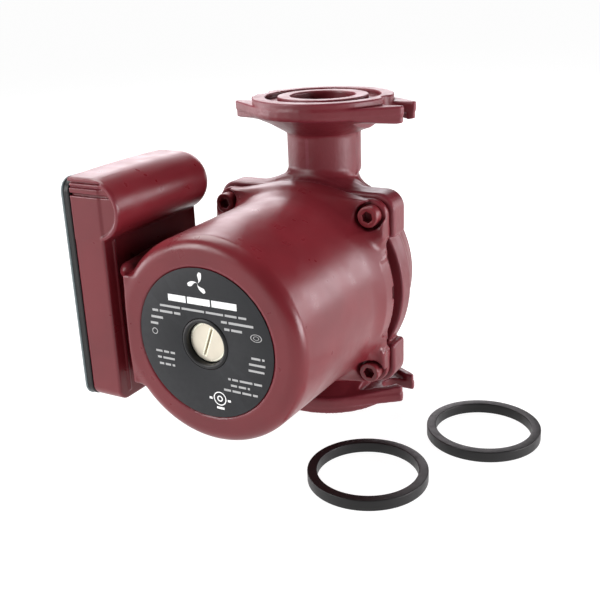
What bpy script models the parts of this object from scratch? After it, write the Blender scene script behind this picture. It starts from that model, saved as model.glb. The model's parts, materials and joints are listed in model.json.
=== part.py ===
"""In-line circulator pump: a wet-rotor pump with slotted pipe flanges, and its two loose flange gaskets.

All sizes below are in millimetres. They are measured from the centre of the bottom flange's sealing
face, with +Z up the pipe to the other flange, -Y to the front of the motor and +X to its right.
in_frame() turns them into metres about the frame's origin, the middle of the whole footprint.
"""

import math

import bmesh
import bpy
from mathutils import Vector

MM = 0.001
GAP = 0.3  # air left between two pieces that touch

# Pipe flanges
FACE_TO_FACE = 165.1
PORT_R = 17.0
BORE_R = 14.5
PORT_DEPTH = 15.0
LAND_R = 23.6
GROOVE_R = 30.1
GROOVE_DEPTH = 2.8
FACE_R = 36.6
FACE_HEIGHT = 3.2
EAR_REACH = 48.0
EAR_TIP_HALF = 10.4
EAR_DISC_R = 37.0
EAR_BOTTOM = 9.0
SEAT_DEPTH = 8.4
WEB_BOTTOM = 18.4
RIB_WIDTH = 5.2
BOLT_X = 40.1
SLOT_HALF = 6.5
NECK_R = 19.3
WAIST_R = 18.1

# Motor axis and the planes that cross it, as Y values
AXIS_Z = 71.4
FRONT_Y = -119.6
FLANGE_FRONT_Y = -34.0
SEAM_Y = -25.0
CHAMBER_FLOOR_Y = -2.5
PARTITION_BACK_Y = 1.5
VOLUTE_BACK_Y = 38.0

# Volute
SCROLL_Z = 76.0
SCROLL_R = 52.5
RING_R = 54.0
CHAMBER_R = 43.0
SPIGOT_R = 46.5
SPIGOT_FLOOR_Y = -20.5
VOLUTE_HALF = 50.3
LUG_BACK_Y = -9.0
SCREW_PITCH = 41.0

# Motor
HOUSING_FRONT_R = 49.0
HOUSING_BACK_R = 51.5
HOUSING_HALF = 48.4
SIDE_GAP_Y = -28.0
SPIGOT_OUT_R = 48.0
ROOM_R = 45.6
STATOR_R = 45.1
STATOR_Y = (-84.5, -51.5)
FRONT_HOLE_R = 12.2
LABEL_R = 35.3
SHAFT_R = 4.0
CAN_R = 27.4
PLUG_R = 9.6
PLUG_FACE_Y = -117.0
THREAD_R = 6.0
SLOT_LEAN = 20.0  # degrees from upright
IMPELLER_R = 38.0
VANE_COUNT = 6
VANE_SWEEP = 75.0  # degrees round the axis from a vane's root to its tip

# Terminal box, on the motor's left
PAD_FACE_X = -50.6
PAD_Z = (44.0, 98.0)
BOX_RIGHT_X = -52.0
BOX_LEFT_X = -68.8
BOX_Y = (-119.6, -47.5)
BOX_Z = (32.2, 141.0)
BOX_WALL = 2.4
CAPACITOR_AXIS = (-56.0, 127.2)
CAPACITOR_R = 11.6
BULGE_R = 14.6
COVER_X = (-73.6, -71.2)
KNOCKOUT = (-60.0, -66.0)  # X and Y
KNOCKOUT_R = 6.0

# Places on the box's wide faces, in Y and Z
WIRE_WAY = (-100.0, -76.0, 58.0, 84.0)
BOX_SCREWS = [(-68.0, 90.0), (-98.0, 52.0)]
COVER_SCREWS = [(-112.0, 41.5), (-55.0, 103.0)]
GROUND_PLACE = (-108.0, 66.0)
TERMINALS = [(-60.0, 54.0), (-60.0, 65.0), (-60.0, 76.0)]

# Wires: radius, and the points each one passes through
WIRE_R = 1.1
LEAD_ROUTES = {
    "stator_lead_1": [
        (-41.7, -92, 62), (-50, -94, 64), (-58, -88, 68),
        (-61, -81, 67), (-59.5, -76.5, 61), (-58.5, -75.5, 57),
    ],
    "stator_lead_2": [
        (-41.7, -92, 78), (-50, -94, 80), (-58, -88, 80),
        (-61, -81, 77), (-59.5, -76.5, 71), (-58.5, -75.5, 68),
    ],
    "capacitor_lead_1": [
        (-62, -56.2, 121), (-64, -57, 114), (-63.5, -64, 105),
        (-62, -70, 97), (-60, -75, 88), (-58.5, -75.8, 77),
    ],
    "capacitor_lead_2": [
        (-57, -56.2, 120), (-58, -57, 114), (-58, -64, 106),
        (-57, -70, 98), (-56, -77, 91), (-55.5, -78.5, 80),
    ],
}

# The middle of everything's bounding box, in X and Y: from the cover's screw heads to the far gasket,
# and from the cover's front edge to the back of the flange discs
FOOTPRINT_CENTRE = (25.45, -41.15)

# Loose flange gaskets
GASKET_IN_R = 23.8
GASKET_OUT_R = 28.4
GASKET_HEIGHT = 5.4
GASKET_PLACES = {"flange_gasket_front": (61.7, -83.6), "flange_gasket_back": (97.3, -20.6)}


# ---------------------------------------------------------------- materials


def finish(name, colour, roughness, metallic=0.0):
    """A Principled material of one colour."""
    made = bpy.data.materials.new(name)
    made.use_nodes = True
    shader = made.node_tree.nodes["Principled BSDF"]
    shader.inputs["Base Color"].default_value = (*colour, 1.0)
    shader.inputs["Roughness"].default_value = roughness
    shader.inputs["Metallic"].default_value = metallic
    return made


# ---------------------------------------------------------------- shapes


def in_frame(point):
    """A point in millimetres from the pipe axis, in metres in the object's frame."""
    return (Vector(point) - Vector((*FOOTPRINT_CENTRE, 0))) * MM


def to_world(u, v, w, along):
    """Turns section coordinates (u, v) and the distance w along an axis into X, Y, Z."""
    return Vector({"X": (w, u, v), "Y": (u, w, v), "Z": (u, v, w)}[along])


def mesh_object(name, shape, centre, material):
    """Makes a closed bmesh, in millimetres about its centre, into an object in metres."""
    bmesh.ops.recalc_face_normals(shape, faces=shape.faces)
    if shape.calc_volume(signed=True) < 0:
        bmesh.ops.reverse_faces(shape, faces=shape.faces)
    bmesh.ops.scale(shape, vec=(MM, MM, MM), verts=shape.verts)
    mesh = bpy.data.meshes.new(name)
    shape.to_mesh(mesh)
    shape.free()
    mesh.shade_smooth()
    mesh.set_sharp_from_angle(angle=math.radians(35))
    made = bpy.data.objects.new(name, mesh)
    made.location = in_frame(centre)
    bpy.context.scene.collection.objects.link(made)
    if material:
        mesh.materials.append(material)
    return made


def turned(name, profile, material=None, along="Y", centre=(0, 0, AXIS_Z), steps=32):
    """Turns a profile of (radius, distance) points.

    The profile closes on itself, or on the axis if both its ends are there.
    """
    shape = bmesh.new()
    points = [shape.verts.new((radius, 0, distance)) for radius, distance in profile]
    solid = profile[0][0] == 0 and profile[-1][0] == 0
    following = points[1:] if solid else points[1:] + points[:1]
    edges = [shape.edges.new(pair) for pair in zip(points, following)]
    bmesh.ops.spin(
        shape,
        geom=points + edges,
        cent=(0, 0, 0),
        axis=(0, 0, 1),
        angle=math.tau,
        steps=steps,
        use_merge=True,
    )
    bmesh.ops.remove_doubles(shape, verts=shape.verts, dist=0.001)
    for vertex in shape.verts:
        vertex.co = to_world(*vertex.co, along)
    return mesh_object(name, shape, centre, material)


def extruded(name, outline, low, high, material=None, along="Z", centre=(0, 0, 0)):
    """Extrudes a closed outline from low to high along an axis."""
    shape = bmesh.new()
    face = shape.faces.new([shape.verts.new(to_world(u, v, low, along)) for u, v in outline])
    raised = bmesh.ops.extrude_face_region(shape, geom=[face])
    moved = [item for item in raised["geom"] if isinstance(item, bmesh.types.BMVert)]
    bmesh.ops.translate(shape, vec=to_world(0, 0, high - low, along), verts=moved)
    return mesh_object(name, shape, centre, material)


def tube(name, points, radius, material):
    """A round wire with flat ends along a smooth curve through the points."""
    spine = bpy.data.curves.new(name, "CURVE")
    spine.dimensions = "3D"
    spine.bevel_depth = radius * MM
    spine.bevel_resolution = 1
    spine.use_fill_caps = True
    spine.resolution_u = 1
    path = smooth_path([Vector(point) for point in points])
    spline = spine.splines.new("POLY")
    spline.points.add(len(path) - 1)
    for target, point in zip(spline.points, path):
        target.co = (*in_frame(point), 1.0)
    made = bpy.data.objects.new(name, spine)
    bpy.context.scene.collection.objects.link(made)
    spine.materials.append(material)
    return made


def smooth_path(points, per_span=3):
    """Points on a Catmull-Rom curve through the given ones."""
    ends = [2 * points[0] - points[1]] + points + [2 * points[-1] - points[-2]]
    path = []
    for p0, p1, p2, p3 in zip(ends, ends[1:], ends[2:], ends[3:]):
        for step in range(per_span):
            t = step / per_span
            path.append(
                0.5
                * (
                    2 * p1
                    + (p2 - p0) * t
                    + (2 * p0 - 5 * p1 + 4 * p2 - p3) * t**2
                    + (3 * p1 - p0 - 3 * p2 + p3) * t**3
                )
            )
    return path + [points[-1]]


def combine(target, tools, operation):
    """Adds one Boolean that joins all the tools to the target, or cuts them away. They are left as guides."""
    group = bpy.data.collections.new(f"{target.name}_{operation.lower()}")
    scene = bpy.context.scene.collection
    scene.children.link(group)
    for tool in tools:
        tool.display_type = "WIRE"
        tool.hide_render = True
        group.objects.link(tool)
        if tool.name in scene.objects:
            scene.objects.unlink(tool)
    step = target.modifiers.new(group.name, "BOOLEAN")
    step.operation = operation
    step.solver = "EXACT"
    step.operand_type = "COLLECTION"
    step.collection = group


def join(target, *tools):
    combine(target, tools, "UNION")


def cut(target, *tools):
    combine(target, tools, "DIFFERENCE")


# ---------------------------------------------------------------- outlines


def arc(centre, radius, start, end, steps):
    """Points on an arc, angles in degrees."""
    return [
        (
            centre[0] + radius * math.cos(math.radians(start + (end - start) * i / steps)),
            centre[1] + radius * math.sin(math.radians(start + (end - start) * i / steps)),
        )
        for i in range(steps + 1)
    ]


def rounded_rect(low_u, high_u, low_v, high_v, radius, steps=5):
    corners = [
        ((high_u - radius, low_v + radius), -90),
        ((high_u - radius, high_v - radius), 0),
        ((low_u + radius, high_v - radius), 90),
        ((low_u + radius, low_v + radius), 180),
    ]
    return [point for centre, start in corners for point in arc(centre, radius, start, start + 90, steps)]


def regular(centre, radius, sides, turn=0.0):
    return arc(centre, radius, turn, turn + 360, sides)[:-1]


def cylinder(name, centre, radius, low, high, material=None, along="Y", steps=16):
    """A plain round bar. Its centre is given in the two coordinates across its axis."""
    place = to_world(*centre, 0, along)
    return extruded(name, regular((0, 0), radius, steps), low, high, material, along, place)


# ---------------------------------------------------------------- volute


def ear_tangent():
    """Angle round the disc, in degrees, where the flank of an ear touches it."""
    tip = math.atan2(EAR_TIP_HALF, EAR_REACH)
    return math.degrees(tip + math.acos(EAR_DISC_R / math.hypot(EAR_REACH, EAR_TIP_HALF)))


def ear_outline(steps=6):
    """A disc with two ears whose flanks touch it as tangents."""
    touch = ear_tangent()
    right = [(EAR_REACH, -EAR_TIP_HALF), (EAR_REACH, EAR_TIP_HALF)]
    left = [(-EAR_REACH, EAR_TIP_HALF), (-EAR_REACH, -EAR_TIP_HALF)]
    top = arc((0, 0), EAR_DISC_R, touch, 180 - touch, steps)
    bottom = arc((0, 0), EAR_DISC_R, 180 + touch, 360 - touch, steps)
    return right + top + left + bottom


def tapered(name, wide, wide_z, narrow_r, narrow_z):
    """A web that narrows from an outline to a circle."""
    shape = bmesh.new()
    low = [shape.verts.new((u, v, wide_z)) for u, v in wide]
    high = []
    for u, v in wide:
        angle = math.atan2(v, u)
        high.append(shape.verts.new((narrow_r * math.cos(angle), narrow_r * math.sin(angle), narrow_z)))
    shape.faces.new(low)
    shape.faces.new(high)
    for i in range(len(low)):
        j = (i + 1) % len(low)
        shape.faces.new((low[i], low[j], high[j], high[i]))
    return mesh_object(name, shape, (0, 0, 0), None)


def bolt_seat(name, side, face_z, inward):
    """Cutter between the two ribs under an ear, where the bolt's head sits."""
    flank = math.radians(90 - ear_tangent())
    tip = EAR_TIP_HALF - RIB_WIDTH / math.cos(flank)
    back_x = 27.0
    back = tip + (EAR_REACH - back_x) * math.tan(flank)
    beyond = 2.0
    outline = [(back_x, -back), (EAR_REACH + beyond, -tip), (EAR_REACH + beyond, tip), (back_x, back)]
    outline = [(side * u, v) for u, v in outline]
    planes = (face_z + inward * SEAT_DEPTH, face_z + inward * (WEB_BOTTOM + beyond))
    return extruded(name, outline, *sorted(planes))


def flange_pieces(which, face_z, inward):
    """Solids and cutters of one pipe flange. Inward is +1 when the pump lies above the face."""

    def z(depth):
        return face_z + inward * depth

    plate = ear_outline()
    solids = [
        cylinder(which + "_face", (0, 0), FACE_R, *sorted((z(0), z(EAR_BOTTOM - 1.5))), along="Z", steps=28),
        extruded(which + "_ears", plate, *sorted((z(FACE_HEIGHT), z(EAR_BOTTOM)))),
        tapered(which + "_web", plate, z(EAR_BOTTOM - 0.5), NECK_R, z(WEB_BOTTOM)),
    ]
    ring = [(LAND_R, z(-2)), (GROOVE_R, z(-2)), (GROOVE_R, z(GROOVE_DEPTH)), (LAND_R, z(GROOVE_DEPTH))]
    cutters = [turned(which + "_groove", ring, along="Z", centre=(0, 0, 0), steps=28)]
    for side, label in ((1, "right"), (-1, "left")):
        near = arc((BOLT_X, 0), SLOT_HALF, 90, 270, 6)
        slot = [(side * u, v) for u, v in [(EAR_REACH + 2, SLOT_HALF)] + near + [(EAR_REACH + 2, -SLOT_HALF)]]
        low, high = sorted((z(-2), z(WEB_BOTTOM + 4)))
        cutters.append(extruded(f"{which}_slot_{label}", slot, low, high))
        cutters.append(bolt_seat(f"{which}_seat_{label}", side, face_z, inward))
    return solids, cutters


def make_volute(material):
    """The cast casing: two flanges, two necks, the scroll, and the passages through them."""
    back = [
        (0, -20),
        (SCROLL_R - 1, -20),
        (SCROLL_R, -12),
        (SCROLL_R - 0.5, -6),
        (SCROLL_R - 4.0, 2),
        (SCROLL_R - 9.5, 12),
        (SCROLL_R - 15.5, 22),
        (SCROLL_R - 21.5, 31),
        (SCROLL_R - 27, VOLUTE_BACK_Y),
        (0, VOLUTE_BACK_Y),
    ]
    casing = turned("volute_casing", back, material, centre=(0, 0, SCROLL_Z), steps=36)
    # The scroll widens as it comes round to the outlet, so its back is fuller on the left
    belly = [(0, -15), (44, -15), (44, 14), (42, 22), (37, 30), (30, 35.5), (23, VOLUTE_BACK_Y - 0.4)]
    belly.append((0, VOLUTE_BACK_Y - 0.4))
    half = VOLUTE_HALF
    lugs = rounded_rect(-half, half, AXIS_Z - half, AXIS_Z + half, 9.0, 4)
    solids = [
        extruded("lug_plate", lugs, SEAM_Y, LUG_BACK_Y, along="Y"),
        turned("scroll_belly", belly, centre=(-5.0, 0, AXIS_Z + 0.6), steps=36),
        cylinder("front_ring", (0, AXIS_Z), RING_R, SEAM_Y, -12.0, steps=36),
    ]

    neck_top = [
        (0, 100),
        (31, 100),
        (31, 110),
        (24.5, 115),
        (20, 119.5),
        (WAIST_R, 124),
        (NECK_R, 127),
        (NECK_R, 150),
        (0, 150),
    ]
    neck_bottom = [(0, 14), (NECK_R, 14), (NECK_R, 24), (24, 28), (24, 44), (0, 44)]
    outlet_neck = turned("neck_top", neck_top, along="Z", centre=(0, 0, 0), steps=24)
    cut(outlet_neck, extruded("neck_trim", rounded_rect(-50, 50, -60, SEAM_Y + 0.1, 1, 1), 98, 123))
    solids += [outlet_neck, turned("neck_bottom", neck_bottom, along="Z", centre=(0, 0, 0), steps=24)]

    cutters = []
    for which, face_z, inward in (("bottom", 0.0, 1), ("top", FACE_TO_FACE, -1)):
        flange_solids, flange_cutters = flange_pieces(which, face_z, inward)
        solids += flange_solids
        cutters += flange_cutters
    join(casing, *solids)

    # Discharge: from the impeller chamber up to the top port
    top = FACE_TO_FACE - PORT_DEPTH
    cutters.append(cylinder("outlet_bore", (0, 0), BORE_R, 104, top + 1, along="Z", steps=22))
    cutters.append(cylinder("outlet_port", (0, 0), PORT_R, top, FACE_TO_FACE + 2, along="Z", steps=22))
    # Suction: from the bottom port, round behind the partition, to the impeller's eye
    cutters.append(cylinder("inlet_port", (0, 0), PORT_R, -2, PORT_DEPTH, along="Z", steps=22))
    cutters.append(cylinder("inlet_bore", (0, 0), BORE_R, PORT_DEPTH - 1, 29, along="Z", steps=22))
    cutters.append(extruded("suction_throat", rounded_rect(-14, 14, 2, 16.4, 5), 27.5, 36))
    dome = arc((0, AXIS_Z), 21, 0, 180, 10)
    suction = [(-18, 27)] + [(18, 27)] + dome
    cutters.append(extruded("suction_room", suction, PARTITION_BACK_Y, 25.5, along="Y"))
    cutters.append(cylinder("eye", (0, AXIS_Z), 19.3, CHAMBER_FLOOR_Y - 1, PARTITION_BACK_Y + 1, steps=28))
    # Impeller chamber, and the wider mouth that seats the can
    cutters.append(cylinder("chamber", (0, AXIS_Z), CHAMBER_R, SEAM_Y - 3, CHAMBER_FLOOR_Y, steps=30))
    cutters.append(cylinder("mouth", (0, AXIS_Z), SPIGOT_R, SEAM_Y - 3, SPIGOT_FLOOR_Y, steps=30))
    for number, (x, z) in enumerate(screw_places(), 1):
        cutters.append(cylinder(f"screw_hole_{number}", (x, z), 3.4, SEAM_Y - 3, LUG_BACK_Y - 2, steps=12))
    cut(casing, *cutters)
    return casing


def screw_places():
    """Centres of the four housing screws in X and Z: top right, bottom right, bottom left, top left."""
    return [(sx * SCREW_PITCH, AXIS_Z + sz * SCREW_PITCH) for sx, sz in ((1, 1), (1, -1), (-1, -1), (-1, 1))]


def make_neck_ring(material):
    ring = [(16.5, -5.0), (19.0, -5.0), (19.0, 0.8), (16.5, 0.8)]
    turned("neck_ring", ring, material)


# ---------------------------------------------------------------- motor


def flange_outline(half, corner_r):
    """A four-lug flange seen along Y: a rounded square whose top and bottom bulge out to the round ring."""
    bulge = math.degrees(math.asin(half / RING_R))
    turn = half - corner_r
    right_top = arc((turn, turn), corner_r, 0, 90, 4)
    right_low = arc((turn, -turn), corner_r, -90, 0, 4)
    top = arc((0, 0), RING_R, bulge, 180 - bulge, 10)
    upper = right_top + top + [(-u, v) for u, v in right_top[::-1]]
    lower = [(-u, v) for u, v in right_low[::-1]] + [(-u, -v) for u, v in top] + right_low
    return [(u, v + AXIS_Z) for u, v in upper + lower]


def make_housing(material):
    """The motor's shell: a drafted barrel, a four-lug rear flange and a side pad for the terminal box."""
    recess_r, recess_y = LABEL_R + 0.4, FRONT_Y + 0.9
    end_y = SEAM_Y - GAP
    section = [
        (FRONT_HOLE_R, recess_y),
        (recess_r, recess_y),
        (recess_r, FRONT_Y),
        (43.5, FRONT_Y),
        (46.2, -118.8),
        (48.2, -116.9),
        (HOUSING_FRONT_R, -114.2),
        (HOUSING_BACK_R - 1.3, FLANGE_FRONT_Y),
        (HOUSING_BACK_R, SIDE_GAP_Y),
        (SPIGOT_OUT_R, SIDE_GAP_Y),
        (SPIGOT_OUT_R, end_y - GAP),
        (ROOM_R, end_y - GAP),
        (ROOM_R, -113),
        (ROOM_R - 3, -115.8),
        (FRONT_HOLE_R, -115.8),
    ]
    housing = turned("stator_housing", section, material, steps=40)
    bevel = [(-43.8, FRONT_Y + 0.8), (PAD_FACE_X, FRONT_Y + 12.7)]
    pad = [(-20, FRONT_Y + 4), (-42.0, FRONT_Y + 0.8)] + bevel
    pad += [(PAD_FACE_X, -50), (-46, -46), (-20, -46)]
    beyond = [(-56.0, FRONT_Y + 22.15), (-62, FRONT_Y + 22.15), (-62, FRONT_Y - 3), (-41.63, FRONT_Y - 3)]
    # Both are hollowed to the middle of the barrel's wall first, so that the join leaves the room clear
    inside = cylinder("barrel_inside", (0, AXIS_Z), ROOM_R + 1.5, FRONT_Y - 2, 0, steps=40)
    flange = extruded("rear_flange", flange_outline(HOUSING_HALF, 8.5), FLANGE_FRONT_Y, end_y, along="Y")
    added = [flange, extruded("box_pad", pad, *PAD_Z, along="Z")]
    for tool in added:
        cut(tool, inside)
    join(housing, *added)
    cut(housing, extruded("pad_bevel", beyond, *PAD_Z, along="Z"))

    wire_way = rounded_rect(*WIRE_WAY, 4)
    drain = rounded_rect(49.0, 56.0, AXIS_Z - 1, AXIS_Z + 5, 0.5, 1)
    cutters = [extruded("wire_way", wire_way, -60, -38, along="X")]
    cutters.append(extruded("drain_notch", drain, -30.2, -26.5, along="Y"))
    for number, (x, z) in enumerate(screw_places(), 1):
        cutters.append(cylinder(f"head_pocket_{number}", (x, z), 7.2, -60, -30.1))
        cutters.append(cylinder(f"clearance_hole_{number}", (x, z), 3.4, -40, -20, steps=12))
    for number, (y, z) in enumerate(BOX_SCREWS, 1):
        cutters.append(cylinder(f"pad_hole_{number}", (y, z), 2.3, -60, -44.5, along="X", steps=12))
    cut(housing, *cutters)
    return housing


def make_screw(name, centre, head_low, head_high, tip, head_r, shank_r, drive_r, material, along, outward):
    """A screw with a hexagon socket. Outward is the sign of the way its head faces along the axis."""
    face = head_low if outward < 0 else head_high
    under = head_high if outward < 0 else head_low
    rim = face - outward * 0.6
    profile = [(0, face), (head_r - 0.6, face), (head_r, rim), (head_r, under), (shank_r, under)]
    profile += [(shank_r, tip), (0, tip)]
    place = to_world(*centre, 0, along)
    screw = turned(name, profile, material, along, place, steps=14)
    depth = (head_high - head_low) * 0.55
    socket = sorted((face + outward, face - outward * depth))
    cut(screw, extruded(name + "_socket", regular((0, 0), drive_r, 6), *socket, along=along, centre=place))
    return screw


def make_rotor_can(material):
    """The thin can that keeps the water with the rotor: front boss, sleeve and clamped flange."""
    inner_r = CAN_R - 0.5
    section = [
        (6.4, -112.6),
        (9.6, -112.6),
        (9.6, -108.0),
        (CAN_R, -108.0),
        (CAN_R, -24.9),
        (46.0, -24.9),
        (46.0, -23.3),
        (inner_r, -23.3),
        (inner_r, -106.2),
        (11.4, -106.2),
        (11.4, -93.2),
        (9.3, -93.2),
        (9.3, -104.8),
        (6.4, -104.8),
    ]
    turned("rotor_can", section, material)


def make_motor_inside(finishes):
    """Stator, windings, bearings and the plate that closes the rotor's room."""
    low, high = STATOR_Y
    stack = [(28.0, low), (STATOR_R, low), (STATOR_R, high), (28.0, high)]
    turned("stator_core", stack, finishes["laminations"])
    for name, start, end in (("winding_front", -98.0, low - GAP), ("winding_rear", high + GAP, -38.0)):
        soft = 2.5
        coil = [(30.5, start + soft), (33, start), (39.5, start), (42, start + soft)]
        coil += [(42, end - soft), (39.5, end), (33, end), (30.5, end - soft)]
        turned(name, coil, finishes["copper"], steps=28)
    front = [(4.35, -104.4), (9.0, -104.4), (9.0, -93.6), (4.35, -93.6)]
    rear = [(4.35, -37.6), (8.5, -37.6), (8.5, -24.0), (4.35, -24.0)]
    turned("front_bearing", front, finishes["ceramic"], steps=24)
    turned("rear_bearing", rear, finishes["ceramic"], steps=24)
    plate = [(8.8, -38.0), (12, -38.0), (12, -23.0), (42.0, -23.0), (42.0, -21.4), (6.5, -21.4)]
    plate += [(6.5, -23.6), (8.8, -23.6)]
    turned("bearing_plate", plate, finishes["stainless"])
    seal = [(42.6, -21.9), (43.5, -22.9), (45.1, -22.9), (46.0, -21.9), (45.1, -20.8), (43.5, -20.8)]
    turned("housing_gasket", seal, finishes["rubber"])


def make_rotor(finishes):
    """Everything that turns on the motor axis."""
    low, high = STATOR_Y
    core_r = CAN_R - 1.2
    core = [(4.3, low), (8, low), (core_r - 1, low), (core_r, low + 1), (core_r, high - 1)]
    core += [(core_r - 1, high), (4.3, high)]
    turned("rotor_core", core, finishes["laminations"])
    shaft = [(0, -103.2), (SHAFT_R - 0.8, -103.2), (SHAFT_R, -102.4), (SHAFT_R, 2.2), (3.4, 2.8), (0, 2.8)]
    rod = turned("shaft", shaft, finishes["ceramic"], steps=24)
    driver = rounded_rect(-0.7, 0.7, -6, 6, 0.2, 1)
    cut(rod, extruded("shaft_slot", driver, -104.5, -101.8, along="Y", centre=(0, 0, AXIS_Z)))
    retainer = [(4.3, -51.0), (10, -51.0), (10, -42.2), (4.3, -42.2)]
    turned("thrust_bearing_retainer", retainer, finishes["rubber"], steps=24)
    thrust = [(4.3, -41.8), (9, -41.8), (9, -38.4), (4.3, -38.4)]
    turned("thrust_bearing", thrust, finishes["carbon"], steps=24)
    make_impeller(finishes["stainless"])
    cone = [(4.3, -5.4), (6.6, -5.4), (5.6, -2.2), (4.3, -2.2)]
    turned("split_cone", cone, finishes["stainless"], steps=24)
    hexagon = regular((0, 0), 6.6, 6)
    nut = extruded("impeller_nut", hexagon, -1.8, 2.0, finishes["brass"], "Y", (0, 0, AXIS_Z))
    thread = cylinder("nut_thread", (0, AXIS_Z), 4.3, -4, 4)
    cut(nut, thread)


def make_impeller(material):
    """A closed impeller: hub, two shrouds, six swept vanes, and the eye's neck at the back."""
    rim = IMPELLER_R
    hub = [(4.3, -20.8), (8, -20.8), (8, -19.6), (rim, -19.6), (rim, -17.4), (8, -17.4)]
    hub += [(7.4, -5.8), (4.3, -5.8)]
    wheel = turned("impeller", hub, material)
    shroud = [(13.8, -0.4), (13.8, -8.2), (16.5, -10.6), (rim, -12.0), (rim, -10.6), (17.5, -8.8)]
    shroud += [(16.1, -7.4), (16.1, -0.4)]
    added = [turned("front_shroud", shroud)]
    root_r, tip_r, half_thickness, steps = 12.0, rim - 0.6, 1.0, 4
    for number in range(VANE_COUNT):
        inner, outer = [], []
        for step in range(steps + 1):
            share = step / steps
            radius = root_r + (tip_r - root_r) * share
            angle = math.tau * number / VANE_COUNT - math.radians(VANE_SWEEP) * share
            half_angle = half_thickness / radius
            inner.append((radius * math.cos(angle - half_angle), radius * math.sin(angle - half_angle)))
            outer.append((radius * math.cos(angle + half_angle), radius * math.sin(angle + half_angle)))
        vane = inner + outer[::-1]
        added.append(extruded(f"vane_{number + 1}", vane, -18.0, -11.4, None, "Y", (0, 0, AXIS_Z)))
    join(wheel, *added)
    return wheel


def make_vent(finishes):
    """The screw that closes the motor's front, and the black seal round its head."""
    face, under, tip = PLUG_FACE_Y, -113.6, -104.9
    plug = [(0, face), (PLUG_R - 0.7, face), (PLUG_R, face + 0.5), (PLUG_R, under), (THREAD_R, under)]
    plug += [(THREAD_R, tip), (0, tip)]
    screw = turned("vent_plug", plug, finishes["nickel"])
    slot = cylinder("plug_slot", (0, 0), 10.5, -0.6, 0.6, along="X", steps=32)
    slot.location = in_frame((0, face - 7.6, AXIS_Z))
    slot.rotation_euler = (0, math.radians(SLOT_LEAN), 0)
    cut(screw, slot)
    ring = [(6.6, -113.0), (11.9, -113.0), (11.9, FRONT_Y), (10.9, FRONT_Y - 0.5), (9.95, FRONT_Y)]
    ring += [(9.95, -113.35), (6.6, -113.35)]
    turned("vent_plug_seal", ring, finishes["rubber"])


def make_nameplate(material):
    back, front = FRONT_Y + 0.6, FRONT_Y + 0.1
    disc = [(FRONT_HOLE_R + 0.3, back), (LABEL_R, back), (LABEL_R, front), (FRONT_HOLE_R + 0.3, front)]
    turned("nameplate", disc, material, steps=44)


# ---------------------------------------------------------------- terminal box

def box_side_outline(shrink=0.0):
    """The box seen from its left, in Y and Z."""
    (y0, y1), (z0, z1) = BOX_Y, BOX_Z
    radius = 6.0
    return rounded_rect(y0 + shrink, y1 - shrink, z0 + shrink, z1 - shrink, radius - shrink / 2, 4)


def bulge_outline(shrink):
    """Section of the capacitor's housing across Y, in X and Z, closed off at the box's left edge."""
    x, z = CAPACITOR_AXIS
    radius = BULGE_R - shrink
    round_side = arc((x, z), radius, -80, 90, 14)
    left = BOX_LEFT_X
    return [(left, z - radius)] + round_side + [(left, z + radius)]


def make_terminal_box(material):
    """The wiring box on the pad, with the round housing for the capacitor along its top."""
    z_capacitor = CAPACITOR_AXIS[1]
    box = extruded("terminal_box", box_side_outline(), BOX_LEFT_X, BOX_RIGHT_X, material, along="X")
    join(box, extruded("bulge", bulge_outline(0.0), BOX_Y[0] + 0.4, BOX_Y[1] + 4, along="Y"))
    inside = rounded_rect(
        BOX_Y[0] + BOX_WALL, BOX_Y[1] - BOX_WALL, BOX_Z[0] + BOX_WALL, z_capacitor - 4, 4, 3
    )
    room = bulge_outline(BOX_WALL)
    room = [(BOX_LEFT_X - 2, room[0][1])] + room[1:-1] + [(BOX_LEFT_X - 2, room[-1][1])]
    cut(
        box,
        extruded("wiring_room", inside, BOX_LEFT_X - 2, BOX_RIGHT_X - BOX_WALL, along="X"),
        extruded("capacitor_room", room, BOX_Y[0] + BOX_WALL, BOX_Y[1] - 1, along="Y"),
    )

    posts, holes = [], []
    for number, (y, z) in enumerate(COVER_SCREWS, 1):
        post = cylinder(f"cover_post_{number}", (y, z), 4.4, BOX_LEFT_X + 0.8, BOX_RIGHT_X - 1, along="X")
        posts.append(post)
        holes.append(cylinder(f"post_hole_{number}", (y, z), 2.2, BOX_LEFT_X - 2, -55, along="X", steps=12))
    for number, (y, z) in enumerate(BOX_SCREWS, 1):
        holes.append(cylinder(f"wall_hole_{number}", (y, z), 2.3, -58, -48, along="X", steps=12))
    holes.append(cylinder("ground_hole", GROUND_PLACE, 2.2, -58, BOX_RIGHT_X - 0.6, along="X", steps=12))
    way = rounded_rect(*WIRE_WAY, 4)
    holes.append(extruded("box_wire_way", way, -60, -48, along="X"))
    low, high = BOX_Z[0] - 2, BOX_Z[0] + 5
    holes.append(cylinder("knockout_hole", KNOCKOUT, KNOCKOUT_R, low, high, along="Z", steps=24))
    join(box, *posts)
    cut(box, *holes)
    return box


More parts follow.
